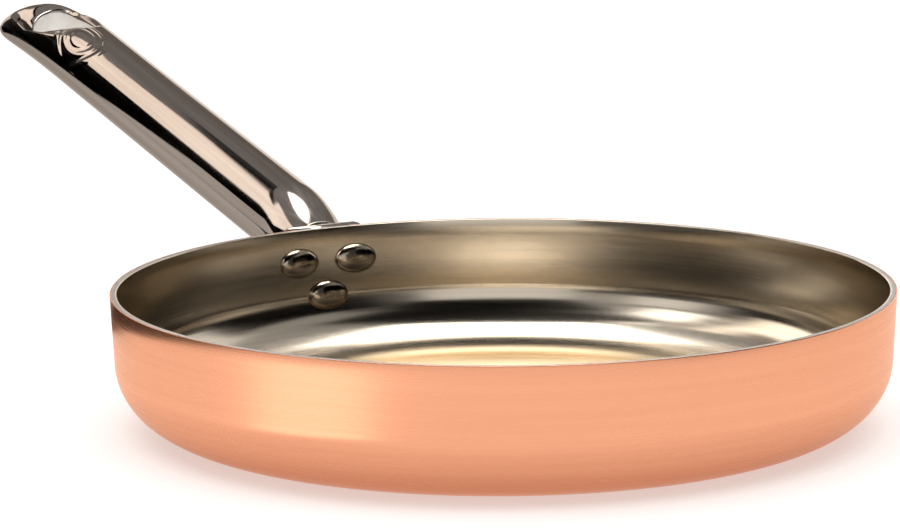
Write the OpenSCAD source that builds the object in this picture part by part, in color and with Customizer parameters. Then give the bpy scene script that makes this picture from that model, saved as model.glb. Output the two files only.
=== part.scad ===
// Low round pan in three bonded metal layers, with a riveted tubular steel handle.
// Millimetres. +Z is up, +X runs from the pan's centre along the handle,
// and the origin is the centre of the flat base's underside.

/* [Pan body] */
// Outer diameter at the rim
rim_d = 280; // [220:5:320]
// Height of the body
pan_h = 50; // [44:1:70]
// Width of the rounded lower corner, measured outwards
corner_w = 30; // [22:1:34]
// Height of the rounded lower corner
corner_h = 26; // [20:1:28]
// How much wider the rim is than the top of the corner, on the radius
wall_lean = 1.2; // [0:0.2:3]

/* [Wall layers] */
// Thickness of the copper outside
copper_t = 0.5; // [0.3:0.1:1.0]
// Thickness of the aluminium middle
core_t = 1.5; // [1.0:0.1:2.0]
// Thickness of the stainless lining
lining_t = 0.5; // [0.3:0.1:0.8]

/* [Handle] */
// Length of the tube along its axis, from the wall to the tip
handle_l = 290; // [220:5:320]
// Outer diameter of the tube
tube_d = 30; // [26:1:32]
// Wall thickness of the tube
tube_t = 1.5; // [1.2:0.1:2.0]
// Angle at which the handle rises
handle_rise = 12.6; // [6:0.2:18]
// Height of the tube's axis where it meets the wall
handle_z = 42.6; // [40:0.2:44]
// Length over which the top of the tube slopes down to the tip
tip_slope_l = 67; // [60:1:75]
// Length over which the sides of the tube round in to the tip
tip_round_l = 40; // [35:1:48]
// Height of the closed edge at the tip
tip_edge_h = 2; // [1.5:0.5:4]

/* [Hanging eye] */
// Distance from the tip to the centre of the eye's round end
eye_from_tip = 32; // [30:1:38]
// Radius of the round end
eye_r = 9.5; // [8:0.5:9.5]
// Radius of the narrow end
eye_point_r = 2.5; // [2:0.5:4]
// Distance between the centres of the two ends
eye_l = 35; // [20:1:40]

/* [Flange and rivets] */
// Thickness of the curved flange
flange_t = 2; // [1.5:0.5:3]
// Diameter of the rivet shanks
shank_d = 5; // [4:0.5:6]
// Width of an oval rivet head
head_w = 17; // [14:0.5:18]
// Height of an oval rivet head
head_h = 11.4; // [10:0.2:12]
// How far a rivet head stands out from the wall
head_out = 2.8; // [2:0.2:3.2]
// Distance of each upper rivet from the handle's middle plane
rivet_y = 12.4; // [11:0.2:13]
// Height of the two upper rivets
upper_rivet_z = 37.4; // [36:0.2:38]
// Height of the lower rivet
lower_rivet_z = 24.2; // [22:0.2:25]

/* [Hidden] */

rim_r = rim_d / 2;
base_r = rim_r - wall_lean - corner_w;
body_t = copper_t + core_t + lining_t;
corner_steps = 14;
lean_per_mm = wall_lean / (pan_h - corner_h);

tube_r = tube_d / 2;
tube_sides = 36;
tip_stations = 15;
root_start = -12;
root_stations = 9;
root_l = 28;
root_drop = 7;
root_shoulder_l = 14;
root_flare = 8;
tube_end_t = 3;
tip_blunt = 0.2;
middle_lowers_l = 64;

eye_x = handle_l - eye_from_tip;

flange_top_z = 51;
weld_t = 1.2;
upper_rivet_turn = asin(rivet_y / rim_r);
tail_r = 4.5;
tail_out = 1.6;

// ---- Pan body ----

// Outline of the body's outside, moved inwards by the depth d, from the axis to height top_z
function outline(d, top_z) = concat(
    [[0, d]],
    [for (i = [0:corner_steps]) let (a = 90 * i / corner_steps)
        [base_r + (corner_w - d) * sin(a), corner_h - (corner_h - d) * cos(a)]],
    [[base_r + corner_w - d + (top_z - corner_h) * lean_per_mm, top_z]]);

function reversed(list) = [for (i = [len(list) - 1:-1:0]) list[i]];

// One bonded layer between two depths
module layer(depth_out, depth_in, top_z = pan_h) {
    rotate_extrude($fn = 180)
        polygon(concat(outline(depth_out, top_z), reversed(outline(depth_in, top_z))));
}

// Everything inside the body's outside surface moved inwards by the depth d
module filled(d, top_z) {
    rotate_extrude($fn = 180) polygon(concat(outline(d, top_z), [[0, top_z]]));
}

// Puts its children at a rivet, with +X along the rivet from the inside outwards
module at_rivet(turn, z) {
    rotate([0, 0, turn]) translate([0, 0, z]) children();
}

module rivet_shank(turn, z) {
    at_rivet(turn, z) translate([rim_r - 20, 0, 0]) rotate([0, 90, 0])
        cylinder(d = shank_d, h = 30, $fn = 48);
}

module rivet_bores() {
    rivet_shank(upper_rivet_turn, upper_rivet_z);
    rivet_shank(-upper_rivet_turn, upper_rivet_z);
    rivet_shank(0, lower_rivet_z);
}

module copper_shell() {
    color([0.90, 0.58, 0.44]) difference() {
        layer(0, copper_t);
        rivet_bores();
    }
}

module aluminium_core() {
    color([0.80, 0.81, 0.82]) difference() {
        layer(copper_t, copper_t + core_t);
        rivet_bores();
    }
}

module steel_lining() {
    color([0.66, 0.60, 0.52]) difference() {
        layer(copper_t + core_t, body_t);
        rivet_bores();
    }
}

// ---- Handle flange ----

// Shield-shaped outline of the flange, seen along the handle
module flange_outline() {
    hull() {
        for (side = [-1, 1]) {
            translate([side * 13, flange_top_z - 5]) circle(r = 5, $fn = 32);
            translate([side * 14, upper_rivet_z - 3]) circle(r = 8, $fn = 32);
        }
        translate([0, lower_rivet_z - 2]) circle(r = 9, $fn = 32);
    }
}

module handle_flange() {
    color([0.62, 0.60, 0.58]) difference() {
        intersection() {
            layer(-flange_t, 0, flange_top_z);
            translate([rim_r - 30, 0, 0]) rotate([90, 0, 90]) linear_extrude(60) flange_outline();
        }
        rivet_bores();
    }
}

// ---- Handle tube ----

// 0 at the start of a stretch of length l that ends at the tip, 1 at the tip
function towards_tip(x, l) = max(0, (x - (handle_l - l)) / l);
// 1 at the wall, 0 at the end of a stretch of length l that starts there
function towards_wall(x, l) = min(1, max(0, 1 - x / l));
function round_off(s, power = 2) = sqrt(max(0, 1 - pow(s, power)));

function tube_side(x) = tube_r * round_off(towards_tip(x, tip_round_l), 4);
function tube_top(x) = -tube_r + tip_edge_h
    + (tube_d - tip_edge_h) * round_off(towards_tip(x, tip_slope_l))
    - root_drop * (1 - round_off(towards_wall(x, root_shoulder_l)));
function tube_bottom(x) = -tube_r - root_flare * pow(towards_wall(x, root_l), 2);
function tube_middle(x) =
    (tip_edge_h / 2 - tube_r) * (1 - round_off(towards_tip(x, middle_lowers_l)))
    - root_flare * pow(towards_wall(x, root_l), 2);

// One ring of points around the tube, at the distance x along its axis, grown by g
function ring(x, g) = let (
        half = tube_side(x) + g, mid = tube_middle(x),
        up = tube_top(x) + g - mid, down = mid - tube_bottom(x) + g)
    [for (i = [0:tube_sides - 1]) let (a = 360 * i / tube_sides)
        [x, half * cos(a), mid + (sin(a) > 0 ? up : down) * sin(a)]];

// Distances along the axis at which the tube has a ring: at its root, and up to the distance last
root_rings = concat([root_start], [for (i = [0:root_stations]) root_l * i / root_stations]);
function all_rings(last) = concat(root_rings, [for (i = [0:tip_stations])
    let (a = 90 * i / tip_stations, slope_start = handle_l - tip_slope_l)
        slope_start + (last - slope_start) * sin(a)]);

// Closed solid of the tube's outside, grown by g, with rings at the distances xs
module tube_solid(g, xs) {
    n = tube_sides;
    points = [for (x = xs) each ring(x, g)];
    walls = [for (k = [0:len(xs) - 2]) for (i = [0:n - 1]) let (j = (i + 1) % n)
        each [[k * n + i, (k + 1) * n + i, (k + 1) * n + j],
              [k * n + i, (k + 1) * n + j, k * n + j]]];
    start_cap = [for (i = [0:n - 1]) i];
    end_cap = [for (i = [n - 1:-1:0]) (len(xs) - 1) * n + i];
    polyhedron(points, concat([start_cap], walls, [end_cap]), convexity = 6);
}

// Teardrop column through the tube, grown by g
module eye_column(g) {
    hull() {
        translate([eye_x, 0, -tube_d]) cylinder(r = eye_r + g, h = 2 * tube_d, $fn = 32);
        translate([eye_x - eye_l, 0, -tube_d]) cylinder(r = eye_point_r + g, h = 2 * tube_d, $fn = 32);
    }
}

// Puts its children on the handle's axis, which starts at the wall
module on_handle() {
    translate([rim_r, 0, handle_z]) rotate([0, -handle_rise, 0]) children();
}

module handle_tube() {
    color([0.58, 0.55, 0.53]) difference() {
        on_handle() difference() {
            tube_solid(0, all_rings(handle_l - tip_blunt));
            difference() {
                tube_solid(-tube_t, all_rings(handle_l - tube_end_t));
                eye_column(tube_t);
            }
            eye_column(0);
        }
        filled(-flange_t, flange_top_z + 20);
    }
}

module handle_weld() {
    color([0.70, 0.68, 0.66]) intersection() {
        layer(-flange_t - weld_t, -flange_t, flange_top_z + 20);
        on_handle() difference() {
            tube_solid(weld_t, root_rings);
            tube_solid(0, root_rings);
        }
    }
}

// ---- Rivets ----

// A rivet with an oval domed head on the lining and a round one on the flange
module rivet(turn, z) {
    wall_in = rim_r - wall_lean - body_t + (z - corner_h) * lean_per_mm;
    wall_out = wall_in + body_t + flange_t;
    color([0.55, 0.52, 0.47]) union() {
        intersection() {
            at_rivet(turn, z) translate([wall_in + 0.6, 0, 0])
                scale([head_out + 0.6, head_w / 2, head_h / 2]) sphere(r = 1, $fn = 64);
            filled(body_t, pan_h);
        }
        at_rivet(turn, z) translate([wall_in - 1, 0, 0]) rotate([0, 90, 0])
            cylinder(d = shank_d, h = body_t + flange_t + 1.5, $fn = 48);
        difference() {
            at_rivet(turn, z) translate([wall_out - 1, 0, 0]) rotate([0, 90, 0])
                cylinder(r1 = tail_r, r2 = tail_r - 1, h = tail_out + 1, $fn = 48);
            filled(-flange_t, pan_h + 5);
        }
    }
}

module rivet_upper_left() { rivet(upper_rivet_turn, upper_rivet_z); }
module rivet_upper_right() { rivet(-upper_rivet_turn, upper_rivet_z); }
module rivet_lower() { rivet(0, lower_rivet_z); }

copper_shell();
aluminium_core();
steel_lining();
handle_flange();
handle_tube();
handle_weld();
rivet_upper_left();
rivet_upper_right();
rivet_lower();
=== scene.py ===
"""The looks of a low copper pan with a tubular steel handle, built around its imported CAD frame.

Metres, in the CAD's own frame: +Z is up, +X runs from the pan's centre along the handle,
and the origin is the centre of the flat base's underside.
"""
import math

import bpy
import numpy as np
from mathutils import Matrix, Vector


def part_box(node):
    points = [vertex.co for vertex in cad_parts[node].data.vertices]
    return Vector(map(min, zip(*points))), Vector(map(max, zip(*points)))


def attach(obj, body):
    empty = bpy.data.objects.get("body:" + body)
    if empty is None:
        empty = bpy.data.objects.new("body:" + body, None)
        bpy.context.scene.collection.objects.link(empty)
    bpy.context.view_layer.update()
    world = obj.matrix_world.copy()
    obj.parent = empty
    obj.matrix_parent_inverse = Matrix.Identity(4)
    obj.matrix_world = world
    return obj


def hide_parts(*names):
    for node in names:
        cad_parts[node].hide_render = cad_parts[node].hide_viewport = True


MM = 0.001
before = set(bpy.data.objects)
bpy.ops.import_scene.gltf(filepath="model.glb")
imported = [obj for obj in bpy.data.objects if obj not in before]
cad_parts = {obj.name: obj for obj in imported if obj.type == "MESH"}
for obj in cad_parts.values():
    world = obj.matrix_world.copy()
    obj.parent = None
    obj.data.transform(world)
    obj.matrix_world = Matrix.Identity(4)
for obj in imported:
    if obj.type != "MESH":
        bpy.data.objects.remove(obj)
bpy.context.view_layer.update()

# ---- Sizes ----

shell_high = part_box("copper_shell")[1]
RIM_R = shell_high.x
PAN_H = shell_high.z
CORNER_W = 30 * MM
CORNER_H = 26 * MM
WALL_LEAN = 1.2 * MM
BASE_R = RIM_R - WALL_LEAN - CORNER_W
COPPER_T = 0.5 * MM
CORE_T = 1.5 * MM
LINING_T = 0.5 * MM
BODY_T = COPPER_T + CORE_T + LINING_T

HANDLE_L = 290 * MM
TUBE_R = 15 * MM
HANDLE_RISE = math.radians(12.6)
HANDLE_Z = 42.6 * MM
FLANGE_T = 2 * MM
FLANGE_MIDDLE_Z = 34 * MM
FLANGE_EDGE_R = 0.8 * MM
RIVET_Y = 12.4 * MM
UPPER_RIVET_Z = 37.4 * MM
LOWER_RIVET_Z = 24.2 * MM
RIVET_HALF_W = 8.5 * MM
RIVET_HALF_H = 5.7 * MM
RIVET_DOME_H = 2.8 * MM
RIVET_SHANK_L = 0.8 * MM
WELD_R = 1.5 * MM

# The camera's place round the pan, and where it points
CAMERA_AZIMUTH = math.radians(150.4)
CAMERA_REACH = 1.5667
CAMERA_Z = 0.3499
CAMERA_HEADING = math.radians(-118.91)
CAMERA_TILT = math.radians(79.44)
CAMERA_ROLL = math.radians(-0.467)
LENS = 178.9

BODY_TURNS = 384

# The plain badge beside the hanging eye, and the heights between which the lining's finish changes
BADGE_X = 210 * MM
BADGE_Y = 8.5 * MM
BADGE_L = 36 * MM
BADGE_W = 14 * MM
BADGE_RELIEF = 0.9
FLOOR_FINISH_Z = 3 * MM
CORNER_FINISH_Z = 8 * MM


# ---- Helpers ----

def new_piece(name, points, faces, material=None):
    """A smooth-shaded mesh object of these points and faces."""
    mesh = bpy.data.meshes.new(name)
    mesh.from_pydata([tuple(p) for p in points], [], [tuple(f) for f in faces])
    mesh.validate()
    mesh.polygons.foreach_set("use_smooth", [True] * len(mesh.polygons))
    mesh.update()
    piece = bpy.data.objects.new(name, mesh)
    bpy.context.scene.collection.objects.link(piece)
    if material:
        mesh.materials.append(material)
    return piece


def lathe(name, profile, material, turns=BODY_TURNS):
    """Turns a closed outline of (radius, height) points, whose ends lie on the axis, round Z."""
    inner = profile[1:-1]
    angles = np.linspace(0, 2 * np.pi, turns, endpoint=False)
    points = [(0, 0, profile[0][1]), (0, 0, profile[-1][1])]
    for r, z in inner:
        points += [(r * math.cos(a), r * math.sin(a), z) for a in angles]
    faces = []
    for i in range(turns):
        j = (i + 1) % turns
        faces.append((0, 2 + j, 2 + i))
        last = 2 + (len(inner) - 1) * turns
        faces.append((1, last + i, last + j))
        for k in range(len(inner) - 1):
            a = 2 + k * turns
            b = a + turns
            faces.append((a + i, a + j, b + j, b + i))
    return new_piece(name, points, faces, material)


def arc(centre, radius, start, end, steps):
    """Points on an arc in the plane of an outline, angles in degrees."""
    angles = np.radians(np.linspace(start, end, steps + 1))
    return [(centre[0] + radius * math.cos(a), centre[1] + radius * math.sin(a)) for a in angles]


# ---- Materials ----

def metal(name, colour, roughness, anisotropic=0.0, edge=(1, 1, 1)):
    """A metal's node tree with its Principled shader, returned with the parts that details join on to.
    edge is the tint of its reflections at a grazing angle."""
    material = bpy.data.materials.new(name)
    material.use_nodes = True
    nodes = material.node_tree.nodes
    shader = nodes["Principled BSDF"]
    shader.inputs["Base Color"].default_value = (*colour, 1)
    shader.inputs["Metallic"].default_value = 1
    shader.inputs["Roughness"].default_value = roughness
    shader.inputs["Anisotropic"].default_value = anisotropic
    shader.inputs["Specular Tint"].default_value = (*edge, 1)
    return material, nodes, material.node_tree.links, shader


def add(nodes, kind, **settings):
    node = nodes.new(kind)
    for key, value in settings.items():
        setattr(node, key, value)
    return node


def math_node(nodes, links, operation, a, b=None):
    node = add(nodes, "ShaderNodeMath", operation=operation)
    for socket, value in zip(node.inputs, (a, b)):
        if isinstance(value, (int, float)):
            socket.default_value = value
        elif value is not None:
            links.new(value, socket)
    return node.outputs[0]


def lathe_coordinates(nodes, links, around, across):
    """Coordinates that run slowly round the pan's axis and quickly from line to line of its brushing."""
    position = add(nodes, "ShaderNodeTexCoord").outputs["Object"]
    split = add(nodes, "ShaderNodeSeparateXYZ")
    links.new(position, split.inputs[0])
    x, y, z = split.outputs
    x_squared = math_node(nodes, links, "MULTIPLY", x, x)
    y_squared = math_node(nodes, links, "MULTIPLY", y, y)
    radius = math_node(nodes, links, "SQRT", math_node(nodes, links, "ADD", x_squared, y_squared))
    line = math_node(nodes, links, "ADD", radius, math_node(nodes, links, "MULTIPLY", z, 1.3))
    joined = add(nodes, "ShaderNodeCombineXYZ")
    for place, side in enumerate((x, y)):
        share = math_node(nodes, links, "DIVIDE", side, radius)
        links.new(math_node(nodes, links, "MULTIPLY", share, around), joined.inputs[place])
    links.new(math_node(nodes, links, "MULTIPLY", line, across), joined.inputs[2])
    return joined.outputs[0]


def noise(nodes, links, vector, scale, detail=3.0, roughness=0.5):
    node = add(nodes, "ShaderNodeTexNoise")
    node.inputs["Scale"].default_value = scale
    node.inputs["Detail"].default_value = detail
    node.inputs["Roughness"].default_value = roughness
    links.new(vector, node.inputs["Vector"])
    return node.outputs["Fac"]


def spread(nodes, links, value, low, high):
    """Maps a noise value on to the range from low to high."""
    node = add(nodes, "ShaderNodeMapRange")
    links.new(value, node.inputs["Value"])
    node.inputs["From Min"].default_value = 0.3
    node.inputs["From Max"].default_value = 0.7
    node.inputs["To Min"].default_value = low
    node.inputs["To Max"].default_value = high
    return node.outputs["Result"]


def bump(nodes, links, height, distance, strength, shader):
    node = add(nodes, "ShaderNodeBump")
    node.inputs["Strength"].default_value = strength
    node.inputs["Distance"].default_value = distance
    links.new(height, node.inputs["Height"])
    links.new(node.outputs["Normal"], shader.inputs["Normal"])


def tint(nodes, links, value, dark, light, shader):
    """Colour that wanders between two shades."""
    node = add(nodes, "ShaderNodeMix", data_type="RGBA")
    node.inputs["A"].default_value = (*dark, 1)
    node.inputs["B"].default_value = (*light, 1)
    links.new(value, node.inputs["Factor"])
    links.new(node.outputs["Result"], shader.inputs["Base Color"])


def turned_metal(name, dark, light, roughness, anisotropic, groove, edge=(1, 1, 1),
                 floor_roughness=None):
    """Metal brushed round the pan's axis, and more coarsely over its floor if floor_roughness is given."""
    material, nodes, links, shader = metal(name, light, roughness, anisotropic, edge)
    tangent = add(nodes, "ShaderNodeTangent", direction_type="RADIAL", axis="Z")
    links.new(tangent.outputs[0], shader.inputs["Tangent"])
    fine = noise(nodes, links, lathe_coordinates(nodes, links, 2.0, 4000), 1.0)
    broad = noise(nodes, links, lathe_coordinates(nodes, links, 1.2, 260), 1.0)
    tint(nodes, links, spread(nodes, links, broad, 0, 1), dark, light, shader)
    rough = spread(nodes, links, fine, roughness - 0.04, roughness + 0.04)
    if floor_roughness:
        height = add(nodes, "ShaderNodeSeparateXYZ")
        links.new(add(nodes, "ShaderNodeTexCoord").outputs["Object"], height.inputs[0])
        on_floor = add(nodes, "ShaderNodeMapRange", interpolation_type="SMOOTHSTEP")
        links.new(height.outputs[2], on_floor.inputs["Value"])
        on_floor.inputs["From Min"].default_value = CORNER_FINISH_Z
        on_floor.inputs["From Max"].default_value = FLOOR_FINISH_Z
        on_floor.inputs["To Max"].default_value = floor_roughness - roughness
        rough = math_node(nodes, links, "ADD", rough, on_floor.outputs["Result"])
    links.new(rough, shader.inputs["Roughness"])
    bump(nodes, links, fine, groove, 0.3, shader)
    return material


def copper_material():
    return turned_metal("brushed_copper", (0.735, 0.333, 0.192), (0.765, 0.352, 0.208), 0.26, 0.8,
                        0.006 * MM, (1.0, 0.86, 0.76))


def lining_material():
    return turned_metal("brushed_lining", (0.58, 0.52, 0.43), (0.65, 0.58, 0.48), 0.17, 0.8, 0.008 * MM,
                        (0.85, 0.80, 0.72), 0.30)


def core_material():
    return turned_metal("rim_aluminium", (0.36, 0.34, 0.32), (0.46, 0.44, 0.42), 0.5, 0.2, 0.01 * MM)


def handle_material():
    """Polished stainless with faint streaks along the tube."""
    material, nodes, links, shader = metal("polished_handle", (0.38, 0.34, 0.31), 0.10, 0,
                                           (0.5, 0.46, 0.43))
    position = add(nodes, "ShaderNodeTexCoord").outputs["Object"]
    turned = add(nodes, "ShaderNodeMapping")
    turned.inputs["Rotation"].default_value = (0, HANDLE_RISE, 0)
    links.new(position, turned.inputs["Vector"])
    drawn = add(nodes, "ShaderNodeMapping")
    drawn.inputs["Scale"].default_value = (8, 500, 500)
    links.new(turned.outputs[0], drawn.inputs["Vector"])
    streak = noise(nodes, links, drawn.outputs[0], 1.0, 4.0)
    links.new(spread(nodes, links, streak, 0.07, 0.15), shader.inputs["Roughness"])
    tint(nodes, links, spread(nodes, links, streak, 0, 1), (0.33, 0.29, 0.26), (0.40, 0.36, 0.33), shader)
    relief = math_node(nodes, links, "ADD", math_node(nodes, links, "MULTIPLY", streak, 0.012),
                       badge_relief(nodes, links, turned.outputs[0]))
    bump(nodes, links, relief, 1 * MM, 1.0, shader)
    return material


def badge_relief(nodes, links, along):
    """Height in mm of a plain oval badge pressed into the tube's top between the eye and the pan.
    along has the handle's direction as X, and the pan's centre as its origin."""
    base_x = RIM_R * math.cos(HANDLE_RISE) + HANDLE_Z * math.sin(HANDLE_RISE)
    split = add(nodes, "ShaderNodeSeparateXYZ")
    links.new(along, split.inputs[0])
    x = math_node(nodes, links, "SUBTRACT", split.outputs[0], base_x + BADGE_X)
    y = math_node(nodes, links, "SUBTRACT", split.outputs[1], BADGE_Y)
    x = math_node(nodes, links, "POWER", math_node(nodes, links, "DIVIDE", x, BADGE_L / 2), 2)
    y = math_node(nodes, links, "POWER", math_node(nodes, links, "DIVIDE", y, BADGE_W / 2), 2)
    reach = math_node(nodes, links, "SQRT", math_node(nodes, links, "ADD", x, y))
    profile = add(nodes, "ShaderNodeFloatCurve")
    curve = profile.mapping.curves[0]
    curve.points[0].location = (0.0, 0.75)
    curve.points[1].location = (1.0, 0.5)
    for place in ((0.25, 0.55), (0.36, 0.15), (0.47, 0.5), (0.56, 0.12), (0.66, 0.85), (0.78, 0.5)):
        curve.points.new(*place)
    profile.mapping.update()
    links.new(math_node(nodes, links, "MULTIPLY", reach, 0.66), profile.inputs["Value"])
    height = math_node(nodes, links, "SUBTRACT", profile.outputs[0], 0.5)
    height = math_node(nodes, links, "MULTIPLY", height, BADGE_RELIEF)
    upper = add(nodes, "ShaderNodeMapRange")
    base_z = HANDLE_Z * math.cos(HANDLE_RISE) - RIM_R * math.sin(HANDLE_RISE)
    links.new(split.outputs[2], upper.inputs["Value"])
    upper.inputs["From Min"].default_value = base_z
    upper.inputs["From Max"].default_value = base_z + 4 * MM
    return math_node(nodes, links, "MULTIPLY", height, upper.outputs["Result"])


def painted_bright_eye_material():
    """The satin wall of the hanging eye. Its steel is painted far brighter than the handle's, a painted
    highlight for the light seen through the hole.
    """
    material, nodes, links, shader = metal("eye_wall_painted_bright", (0.96, 0.95, 0.93), 0.5)
    position = add(nodes, "ShaderNodeTexCoord").outputs["Object"]
    grain = noise(nodes, links, position, 700.0, 2.0)
    links.new(spread(nodes, links, grain, 0.46, 0.54), shader.inputs["Roughness"])
    return material


def rivet_material():
    """Polished stainless, a little uneven from being pressed."""
    material, nodes, links, shader = metal("polished_rivet", (0.40, 0.34, 0.27), 0.14, 0, (0.45, 0.4, 0.35))
    position = add(nodes, "ShaderNodeTexCoord").outputs["Object"]
    dents = noise(nodes, links, position, 260.0, 2.0)
    links.new(spread(nodes, links, dents, 0.10, 0.22), shader.inputs["Roughness"])
    bump(nodes, links, dents, 0.5 * MM, 0.5, shader)
    return material


def weld_material():
    material, nodes, links, shader = metal("ground_weld", (0.55, 0.52, 0.48), 0.3)
    position = add(nodes, "ShaderNodeTexCoord").outputs["Object"]
    grain = noise(nodes, links, position, 900.0, 4.0)
    links.new(spread(nodes, links, grain, 0.22, 0.42), shader.inputs["Roughness"])
    bump(nodes, links, grain, 0.1 * MM, 0.4, shader)
    return material


# ---- Pan body ----

def outline(depth, top_z, steps=40):
    """The body's outside moved inwards by depth, from the axis to the height top_z."""
    angles = np.linspace(0, np.pi / 2, steps + 1)
    points = [(0, depth), (BASE_R * 0.5, depth)]
    points += [(BASE_R + (CORNER_W - depth) * math.sin(a), CORNER_H - (CORNER_H - depth) * math.cos(a))
               for a in angles]
    for share in (0.25, 0.5, 0.75):
        z = CORNER_H + (top_z - CORNER_H) * share
        points.append((wall_radius(z) - depth, z))
    points.append((wall_radius(top_z) - depth, top_z))
    return points


def wall_radius(z):
    """Outside radius of the straight wall at the height z."""
    return BASE_R + CORNER_W + (z - CORNER_H) * WALL_LEAN / (PAN_H - CORNER_H)


def body_layer(name, node, depth_out, depth_in, edge_out, edge_in, material):
    """One bonded layer, with its edges at the rim rounded by edge_out and edge_in."""
    outside = outline(depth_out, PAN_H - edge_out)
    inside = outline(depth_in, PAN_H - edge_in)
    r_out = outside[-1][0]
    r_in = inside[-1][0]
    rim = arc((r_out - edge_out, PAN_H - edge_out), edge_out, 0, 90, 4)[1:]
    rim += arc((r_in + edge_in, PAN_H - edge_in), edge_in, 90, 180, 4)[:-1]
    piece = lathe(name, outside + rim + inside[::-1], material)
    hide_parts(node)
    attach(piece, "root")
    return piece


def make_body():
    copper = body_layer("copper_shell_turned", "copper_shell", 0, COPPER_T,
                        0.22 * MM, 0.2 * MM, copper_material())
    core = body_layer("aluminium_core_turned", "aluminium_core", COPPER_T, COPPER_T + CORE_T,
                      0.15 * MM, 0.05 * MM, core_material())
    lining = body_layer("steel_lining_turned", "steel_lining", COPPER_T + CORE_T, BODY_T,
                        0.05 * MM, 0.3 * MM, lining_material())


# ---- Handle ----

TIP_SLOPE_L = 67 * MM
TIP_ROUND_L = 40 * MM
MIDDLE_LOWERS_L = 64 * MM
TIP_EDGE_H = 2 * MM
ROOT_L = 28 * MM
ROOT_DROP = 7 * MM
ROOT_SHOULDER_L = 30 * MM
ROOT_FLARE = 8 * MM
TIP_X = HANDLE_L - 0.2 * MM

EYE_X = HANDLE_L - 36.2 * MM
EYE_R = 9.4 * MM
EYE_POINT_R = 2.5 * MM
EYE_L = 33.6 * MM
EYE_LIP = 0.7 * MM
DISH_DEPTH = 6.0 * MM
DISH_LEAN = 0.43
DISH_START_X = 215.5 * MM
DISH_TIP_RISE = 1.8 * MM
DISH_SLOPE = 0.85
DISH_SLOPE_LEAN = 0.62
DISH_BLEND = 0.9 * MM
UNDER_LIP = 0.8 * MM
PATCH_X = 176 * MM


def towards_tip(x, length):
    return np.clip((x - (HANDLE_L - length)) / length, 0, 1)


def towards_wall(x, length):
    return np.clip(1 - x / length, 0, 1)


def round_off(s, power=2):
    return np.sqrt(np.clip(1 - s ** power, 0, None))


def tube_side(x):
    return TUBE_R * round_off(towards_tip(x, TIP_ROUND_L), 7)


def tube_middle(x):
    lowered = (TIP_EDGE_H / 2 - TUBE_R) * (1 - round_off(towards_tip(x, MIDDLE_LOWERS_L)))
    return lowered - ROOT_FLARE * towards_wall(x, ROOT_L) ** 2


def tube_top(x):
    sloped = -TUBE_R + TIP_EDGE_H + (2 * TUBE_R - TIP_EDGE_H) * round_off(towards_tip(x, TIP_SLOPE_L))
    near = towards_wall(x, ROOT_SHOULDER_L)
    return sloped - ROOT_DROP * near ** 2 * (3 - 2 * near)


def tube_bottom(x):
    return -TUBE_R - ROOT_FLARE * towards_wall(x, ROOT_L) ** 2


def bow(x, y):
    """1 on the handle's middle plane, 0 where its side turns under."""
    side = np.maximum(tube_side(x), 1e-9)
    return np.sqrt(np.clip(1 - (y / side) ** 2, 0, None))


def eye_gap(x, y):
    """Distance from the eye's teardrop outline, in plan."""
    px = np.abs(y)
    py = EYE_X - x
    b = (EYE_R - EYE_POINT_R) / EYE_L
    a = math.sqrt(1 - b * b)
    k = a * py - b * px
    round_end = np.hypot(px, py) - EYE_R
    narrow_end = np.hypot(px, py - EYE_L) - EYE_POINT_R
    flank = a * px + b * py - EYE_R
    return np.where(k < 0, round_end, np.where(k > a * EYE_L, narrow_end, flank))


def lip(x, y, width):
    """1 at the eye's edge, falling off in a rounded lip to 0 at that distance from it."""
    share = np.clip(eye_gap(x, y) / width, 0, 1)
    return 1 - np.sqrt(1 - (1 - share) ** 2)


def domed_z(x, y):
    mid = tube_middle(x)
    return mid + (tube_top(x) - mid) * bow(x, y)


def dished_z(x, y):
    """The shallow dish round the eye. It lies lowest on the side that faces left from the pan."""
    side = np.clip(y / EYE_R, -1, 1)
    share = np.clip((x - DISH_START_X) / (EYE_X - DISH_START_X), 0, 1)
    depth = DISH_DEPTH * share * (2 - share) * (1 + DISH_LEAN * side)
    depth = depth - DISH_TIP_RISE * np.clip((x - EYE_X) / EYE_R, 0, 1)
    slope = DISH_SLOPE * (1 - DISH_SLOPE_LEAN * side)
    return domed_z(x, EYE_R * side) - depth + slope * np.maximum(eye_gap(x, y), 0)


def top_z(x, y):
    a = domed_z(x, y)
    b = dished_z(x, y)
    blended = -DISH_BLEND * np.logaddexp(-a / DISH_BLEND, -b / DISH_BLEND)
    far = np.clip((eye_gap(x, y) - 8 * MM) / (8 * MM), 0, 1)
    at_side = np.clip(bow(x, y) / 0.3, 0, 1)
    near = (1 - far * far * (3 - 2 * far)) * at_side * at_side * (3 - 2 * at_side)
    return a + (blended - a) * near - EYE_LIP * lip(x, y, EYE_LIP)


def under_z(x, y):
    mid = tube_middle(x)
    return mid - (mid - tube_bottom(x)) * bow(x, y) + UNDER_LIP * lip(x, y, UNDER_LIP)


def on_handle(x, y, z):
    """Point of the handle's own axes, in the pan's."""
    cos, sin = math.cos(HANDLE_RISE), math.sin(HANDLE_RISE)
    return np.stack([RIM_R + x * cos - z * sin, y + 0 * x, HANDLE_Z + x * sin + z * cos], -1)


def tube_ring(x, turn):
    """Sideways and upward place of the tube's skin at these distances along it and angles round it."""
    mid = tube_middle(x)
    half = np.where(np.sin(turn) > 0, tube_top(x) - mid, mid - tube_bottom(x))
    return tube_side(x) * np.cos(turn), mid + half * np.sin(turn)


def tube_start(turn):
    """Distance along the handle at which the skin meets the flange, for each angle round it."""
    x = np.zeros(len(turn))
    for _ in range(40):
        x = np.clip(x, -12 * MM, 12 * MM)
        place = on_handle(x, *tube_ring(x, turn))
        gap = np.hypot(place[:, 0], place[:, 1]) - wall_radius(place[:, 2]) - FLANGE_T
        x = x - 0.7 * gap
    return x


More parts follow.
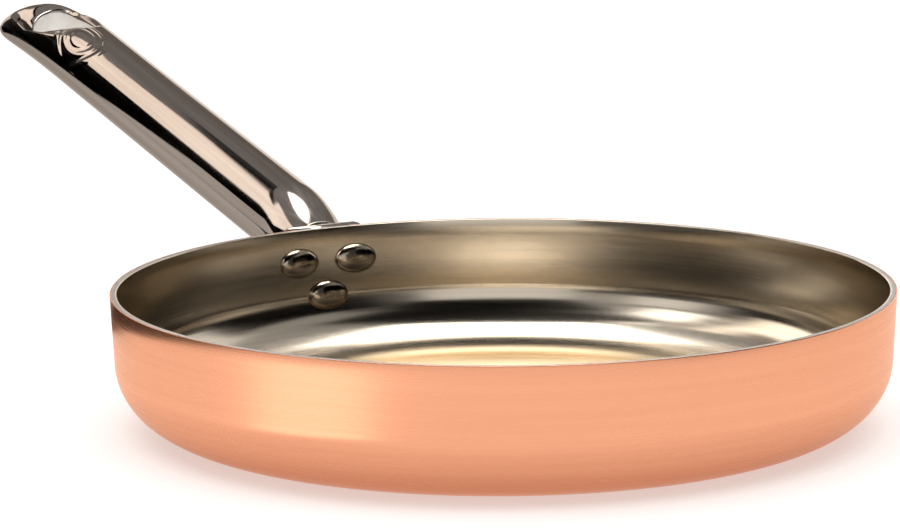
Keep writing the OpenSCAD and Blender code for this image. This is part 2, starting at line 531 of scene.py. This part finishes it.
def teardrop(turns):
    """Points on the eye's outline at these angles round its centre, found by marching outwards."""
    centre_x = EYE_X - EYE_L * 0.35
    reach = np.full(len(turns), 1 * MM)
    for _ in range(60):
        x = centre_x + reach * np.cos(turns)
        y = reach * np.sin(turns)
        reach = reach - eye_gap(x, y) * 0.9
    return centre_x + reach * np.cos(turns), reach * np.sin(turns)


def make_handle(material, painted_bright_eye_material):
    """One closed skin: a tube of rings, then a patch above and a patch below that meet round the eye."""
    half = 64          # quads over the tube's top, and as many below
    along = 150        # quads along each flank of the patches
    across = 56        # quads from the eye's edge to the flank
    angles = np.pi * np.arange(half + 1) / half

    # boundary of the patches: over the first ring, then round the plan outline by the tip
    first_x = np.full(half + 1, PATCH_X)
    first_y = tube_side(PATCH_X) * np.cos(angles)
    s = np.arange(1, along + 1) / along
    flank_x = PATCH_X + (TIP_X - PATCH_X) * np.sin(s * np.pi / 2)
    flank_y = tube_side(flank_x)
    edge_x = np.concatenate([first_x, flank_x, flank_x[-2::-1]])
    edge_y = np.concatenate([first_y, -flank_y, flank_y[-2::-1]])
    count = len(edge_x)

    # points on the eye's outline, at the angles at which its centre sees the boundary's points
    centre_x = EYE_X - EYE_L * 0.35
    turn = np.unwrap(np.arctan2(edge_y, edge_x - centre_x))
    eye_x, eye_y = teardrop(turn)

    # radial shares, closer together at the lip and at the flank
    k = np.arange(across + 1) / across
    share = 0.5 - 0.5 * np.cos(np.pi * k)
    share = share ** 1.25

    points = []
    faces = []

    def add_points(x, y, z):
        start = len(points)
        points.extend(on_handle(x, y, z))
        return start

    # rings of the tube, from the wall to the patches
    ring_turn = np.concatenate([angles, np.pi + angles[1:-1]])
    start_x = tube_start(ring_turn)
    ring_x = np.concatenate([ROOT_L * 1.2 * np.arange(44) / 44, np.linspace(ROOT_L * 1.2, PATCH_X, 60)])
    ring_starts = []
    n = len(ring_turn)
    for flat_x in ring_x:
        x = flat_x + start_x * (1 - flat_x / PATCH_X) ** 3
        ring_starts.append(add_points(x, *tube_ring(x, ring_turn)))
    for a, b in zip(ring_starts, ring_starts[1:]):
        faces += [(a + i, a + (i + 1) % n, b + (i + 1) % n, b + i) for i in range(n)]
    faces.append(tuple(ring_starts[0] + i for i in reversed(range(n))))

    # the two patches; index tables hold each patch's points, boundary last
    last_ring = ring_starts[-1]
    top_table = []
    under_table = []
    for f in share[:-1]:
        x = eye_x + (edge_x - eye_x) * f
        y = eye_y + (edge_y - eye_y) * f
        start = add_points(x, y, top_z(x, y))
        top_table.append([start + i for i in range(count)])
        start = add_points(x, y, under_z(x, y))
        under_table.append([start + i for i in range(count)])
    flank_start = add_points(edge_x[half + 1:], edge_y[half + 1:], tube_middle(edge_x[half + 1:]))
    flank = [flank_start + i for i in range(count - half - 1)]
    top_table.append([last_ring + i for i in range(half + 1)] + flank)
    under_first = [last_ring] + [last_ring + n - i for i in range(1, half)] + [last_ring + half]
    under_table.append(under_first + flank)
    for a, b in zip(top_table, top_table[1:]):
        faces += [(a[i], b[i], b[(i + 1) % count], a[(i + 1) % count]) for i in range(count)]
    for a, b in zip(under_table, under_table[1:]):
        faces += [(a[i], a[(i + 1) % count], b[(i + 1) % count], b[i]) for i in range(count)]

    # wall of the eye
    rows = 10
    wall = [top_table[0]]
    z_up = top_z(eye_x, eye_y)
    z_down = under_z(eye_x, eye_y)
    for r in range(1, rows):
        start = add_points(eye_x, eye_y, z_up + (z_down - z_up) * r / rows)
        wall.append([start + i for i in range(count)])
    wall.append(under_table[0])
    skin_faces = len(faces)
    for a, b in zip(wall, wall[1:]):
        faces += [(a[i], a[(i + 1) % count], b[(i + 1) % count], b[i]) for i in range(count)]

    piece = new_piece("handle_tube_skin", points, faces, material)
    # the eye's wall takes the steel painted bright, a painted highlight for the light through the hole
    piece.data.materials.append(painted_bright_eye_material)
    for face in piece.data.polygons[skin_faces:]:
        face.material_index = 1
    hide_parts("handle_tube")
    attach(piece, "root")
    return piece


def flange_outline(count=220):
    """Shield shape of the flange in (Y, Z): the hull of five circles, in mm."""
    circles = [(13, 46, 5), (-13, 46, 5), (14, 34.4, 8), (-14, 34.4, 8), (0, 22.2, 9)]
    turns = np.linspace(0, 2 * np.pi, count, endpoint=False)
    middle = FLANGE_MIDDLE_Z / MM
    reach = np.max([cy * np.cos(turns) + (cz - middle) * np.sin(turns) + r for cy, cz, r in circles],
                   axis=0)
    slope = (np.roll(reach, -1) - np.roll(reach, 1)) / (turns[2] - turns[0])
    y = reach * np.cos(turns) - slope * np.sin(turns)
    z = middle + reach * np.sin(turns) + slope * np.cos(turns)
    return y * MM, z * MM


def make_flange(material):
    """Plate bent to the pan's wall, with rounded outer edges."""
    y, z = flange_outline()
    count = len(y)
    edge = FLANGE_EDGE_R
    steps = [(0, 0), (0, FLANGE_T - edge)]
    steps += [(edge * (1 - math.cos(a)), FLANGE_T - edge + edge * math.sin(a))
              for a in np.radians((20, 40, 60, 80, 90))]
    points = []
    for inset, depth in steps:
        span = np.hypot(y, z - FLANGE_MIDDLE_Z)
        py = y * (1 - inset / span)
        pz = FLANGE_MIDDLE_Z + (z - FLANGE_MIDDLE_Z) * (1 - inset / span)
        r = wall_radius(pz) + depth
        points += list(np.stack([np.sqrt(r ** 2 - py ** 2), py, pz], -1))
    rings = len(steps)
    for share in (0.93, 0.8, 0.6, 0.4, 0.2):
        py = y * share
        pz = FLANGE_MIDDLE_Z + (z - FLANGE_MIDDLE_Z) * share
        r = wall_radius(pz) + FLANGE_T
        points += list(np.stack([np.sqrt(r ** 2 - py ** 2), py, pz], -1))
        rings += 1
    faces = []
    for k in range(rings - 1):
        a = k * count
        b = a + count
        faces += [(a + i, a + (i + 1) % count, b + (i + 1) % count, b + i) for i in range(count)]
    faces.append(tuple(reversed(range(count))))
    faces.append(tuple((rings - 1) * count + i for i in range(count)))
    piece = new_piece("handle_flange_plate", points, faces, material)
    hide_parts("handle_flange")
    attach(piece, "root")


def make_weld(material):
    """Bead that follows the tube's root on the flange, and dies away over its top."""
    count = 240
    sides = 16
    turns = np.linspace(0, 2 * np.pi, count, endpoint=False)
    x = tube_start(turns)
    centre = on_handle(x, *tube_ring(x, turns))
    away = centre - on_handle(x, 0 * x, tube_middle(x))
    away /= np.linalg.norm(away, axis=1)[:, None]
    outward = np.stack([centre[:, 0], centre[:, 1], 0 * x], -1)
    outward /= np.linalg.norm(outward, axis=1)[:, None]
    size = WELD_R * (0.25 + 0.75 * np.clip((0.75 - np.sin(turns)) / 0.5, 0, 1))
    size = size * (1 + 0.07 * np.sin(turns * 70) + 0.05 * np.sin(turns * 23))
    points = []
    for a in np.linspace(0, 2 * np.pi, sides, endpoint=False):
        points += list(centre + (away * math.cos(a) + outward * math.sin(a)) * size[:, None])
    faces = []
    for k in range(sides):
        a = k * count
        b = (k + 1) % sides * count
        faces += [(a + i, b + i, b + (i + 1) % count, a + (i + 1) % count) for i in range(count)]
    piece = new_piece("handle_weld_bead", points, faces, material)
    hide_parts("handle_weld")
    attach(piece, "root")


# ---- Rivets ----

def make_rivet(name, node, turn, z, material):
    """Oval domed head that follows the wall, closed by a short stub of its shank."""
    wall = wall_radius(max(z, CORNER_H)) - BODY_T
    rings = 24
    sides = 96
    points = [(wall - RIVET_DOME_H, 0, z)]
    faces = []
    spin = np.linspace(0, 2 * np.pi, sides, endpoint=False)
    for k in range(1, rings + 1):
        s = math.sin(0.5 * math.pi * k / rings)
        lift = RIVET_DOME_H * math.sqrt(max(0, 1 - s ** 2.6))
        for a in spin:
            y = RIVET_HALF_W * s * math.cos(a)
            h = RIVET_HALF_H * s * math.sin(a)
            r = math.sqrt((wall_radius(z + h) - BODY_T) ** 2 - y * y) - lift
            points.append((r, y, z + h))
    last = 1 + (rings - 1) * sides
    for a in spin:
        points.append((wall + RIVET_SHANK_L, RIVET_HALF_W * math.cos(a) * 0.5,
                       z + RIVET_HALF_H * math.sin(a) * 0.5))
    for i in range(sides):
        j = (i + 1) % sides
        faces.append((0, 1 + i, 1 + j))
        for k in range(rings - 1):
            a = 1 + k * sides
            faces.append((a + i, a + sides + i, a + sides + j, a + j))
        faces.append((last + i, last + sides + i, last + sides + j, last + j))
    faces.append(tuple(last + sides + i for i in reversed(range(sides))))
    piece = new_piece(name, points, faces, material)
    piece.data.transform(Matrix.Rotation(turn, 4, "Z"))
    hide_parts(node)
    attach(piece, "root")
    return piece


# ---- Camera, floor and light ----

def make_camera():
    camera = bpy.data.objects.new("camera", bpy.data.cameras.new("camera"))
    camera.data.lens = LENS
    camera.data.sensor_width = 36
    camera.data.clip_end = 50
    place = Vector((CAMERA_REACH * math.cos(CAMERA_AZIMUTH),
                    CAMERA_REACH * math.sin(CAMERA_AZIMUTH), CAMERA_Z))
    aim = (Matrix.Rotation(CAMERA_HEADING, 4, "Z") @ Matrix.Rotation(CAMERA_TILT, 4, "X")
           @ Matrix.Rotation(CAMERA_ROLL, 4, "Z"))
    camera.matrix_world = Matrix.Translation(place) @ aim
    bpy.context.scene.collection.objects.link(camera)
    bpy.context.scene.camera = camera


def glow(name, colour, strength):
    material = bpy.data.materials.new(name)
    material.use_nodes = True
    nodes = material.node_tree.nodes
    nodes.remove(nodes["Principled BSDF"])
    light = add(nodes, "ShaderNodeEmission")
    light.inputs["Color"].default_value = (*colour, 1)
    light.inputs["Strength"].default_value = strength
    material.node_tree.links.new(light.outputs[0], nodes["Material Output"].inputs["Surface"])
    return material


def studio_point(ahead, left, up):
    """Point at these distances from the pan's centre, in the direction of view and to its left."""
    view = CAMERA_AZIMUTH + math.pi
    return (ahead * math.cos(view) - left * math.sin(view),
            ahead * math.sin(view) + left * math.cos(view), up)


def stage_card(name, points, faces, colour, strength):
    """A glowing or black card that only reflections see."""
    panel = new_piece(name, points, faces, glow(name, colour, strength))
    panel.visible_camera = False
    panel.visible_diffuse = False
    panel.visible_shadow = False


def upright_card(name, centre, turns, rise, distance, colour, strength):
    """A card bent round the point centre, between two turns to the left of the direction of view
    and between two angles of elevation, all in degrees."""
    steps = 24
    columns = np.radians(np.linspace(turns[0], turns[1], steps + 1))
    points = []
    for elevation in rise:
        up = max(0.001, centre[2] + distance * math.tan(math.radians(elevation)))
        points += [studio_point(centre[0] + distance * math.cos(a), centre[1] + distance * math.sin(a), up)
                   for a in columns]
    faces = [(i, i + 1, i + steps + 2, i + steps + 1) for i in range(steps)]
    stage_card(name, points, faces, colour, strength)


def level_card(name, up, ahead, left, colour, strength):
    """A card held level over the pan, between two distances ahead and two to the left."""
    points = [studio_point(ahead[i], left[j], up) for i, j in ((0, 0), (1, 0), (1, 1), (0, 1))]
    stage_card(name, points, [(0, 1, 2, 3)], colour, strength)


def floor_card(name, up, spots, colour, strength):
    """A four-cornered card just over the floor. Each corner is its distances ahead and left."""
    stage_card(name, [studio_point(*spot, up) for spot in spots], [(0, 1, 2, 3)], colour, strength)


def make_stage():
    scene = bpy.context.scene
    scene.view_settings.view_transform = "Standard"
    world = bpy.data.worlds.new("studio")
    world.use_nodes = True
    world.node_tree.nodes["Background"].inputs["Color"].default_value = (1.0, 0.97, 0.95, 1)
    world.node_tree.nodes["Background"].inputs["Strength"].default_value = 0.4
    scene.world = world

    floor_material = bpy.data.materials.new("floor")
    floor_material.use_nodes = True
    shader = floor_material.node_tree.nodes["Principled BSDF"]
    shader.inputs["Base Color"].default_value = (0.62, 0.62, 0.62, 1)
    shader.inputs["Roughness"].default_value = 0.9
    shader.inputs["Specular IOR Level"].default_value = 0.1
    shader.inputs["Emission Color"].default_value = (1.0, 0.94, 0.91, 1)
    shader.inputs["Emission Strength"].default_value = 0.5
    size = 6
    floor = new_piece("floor", [(-size, -size, 0), (size, -size, 0), (size, size, 0), (-size, size, 0)],
                      [(0, 1, 2, 3)], floor_material)

    top = bpy.data.objects.new("top_light", bpy.data.lights.new("top_light", "AREA"))
    top.data.shape = "SQUARE"
    top.data.size = 3.0
    top.data.energy = 50
    top.location = (0, 0, 1.8)
    top.visible_glossy = False
    scene.collection.objects.link(top)

    white = (1.0, 0.97, 0.94)
    cream = (1.0, 0.90, 0.80)
    black = (0.0, 0.0, 0.0)
    pan = (0, 0, 0.05)
    by_handle = (0.22, 0.12, 0.10)
    # what the pan's inside reflects: broad cards in front, behind and to the sides
    upright_card("front_card", pan, (157, 206), (2, 28), 1.9, white, 0.95)
    upright_card("front_left_card", pan, (99, 156), (-1, 12), 1.9, white, 0.1)
    upright_card("window_card", pan, (112, 136), (13, 30), 1.9, white, 1.1)
    upright_card("front_right_card", pan, (207, 240), (-1, 40), 1.9, white, 0.1)
    upright_card("back_card", pan, (-62, 48), (-1, 14), 2.6, white, 2.3)
    upright_card("right_box", pan, (-66, -36), (14, 38), 1.2, white, 1.2)
    upright_card("left_box", pan, (98, 124), (34, 66), 1.0, white, 3.0)
    # what the handle reflects: cream boxes beside it, with black under them
    upright_card("handle_box", by_handle, (42, 84), (17, 44), 0.42, cream, 2.4)
    upright_card("root_box", by_handle, (84, 104), (17, 60), 0.42, cream, 2.4)
    upright_card("handle_flag", by_handle, (36, 86), (-10.5, 17), 0.42, black, 0)
    floor_card("floor_flag", 0.005, ((0.15, 0.16), (1.3, 1.36), (0.4, 1.9), (-0.5, 0.9)), black, 0)
    # the brighter upright strip on the copper, beside the pan
    floor_card("copper_strip", 0.004, ((-0.12, 0.125), (-0.18, 0.35), (-0.36, 0.22), (-0.165, 0.072)),
               white, 2.1)
    # the dark line along the handle's cream stripe
    upright_card("handle_streak", by_handle, (26, 86), (44, 52), 0.42, black, 0)
    # black sides and a box overhead, which give the pan's inside its dark ends and its bright floor
    upright_card("left_flag", pan, (56, 98), (-12, 44), 0.75, black, 0)
    upright_card("right_flag", pan, (-136, -66), (-12, 34), 0.8, black, 0)
    level_card("over_box", 0.55, (0.03, 0.34), (-0.16, 0.14), white, 8.0)
    level_card("over_flag", 0.65, (-0.95, -0.01), (-0.5, 0.4), black, 0)
    # the floor behind and to the left, as the handle's underside reflects it
    level_card("floor_shade", 0.003, (0.20, 1.8), (0.14, 1.5), white, 1.1)


# ---- Everything ----

make_camera()
make_stage()
make_body()
handle_steel = handle_material()
make_handle(handle_steel, painted_bright_eye_material())
rivet_steel = rivet_material()
rivet_turn = math.asin(RIVET_Y / RIM_R)
make_rivet("rivet_upper_left_head", "rivet_upper_left", rivet_turn, UPPER_RIVET_Z, rivet_steel)
make_rivet("rivet_upper_right_head", "rivet_upper_right", -rivet_turn, UPPER_RIVET_Z, rivet_steel)
make_rivet("rivet_lower_head", "rivet_lower", 0, LOWER_RIVET_Z, rivet_steel)
make_flange(handle_steel)
make_weld(weld_material())
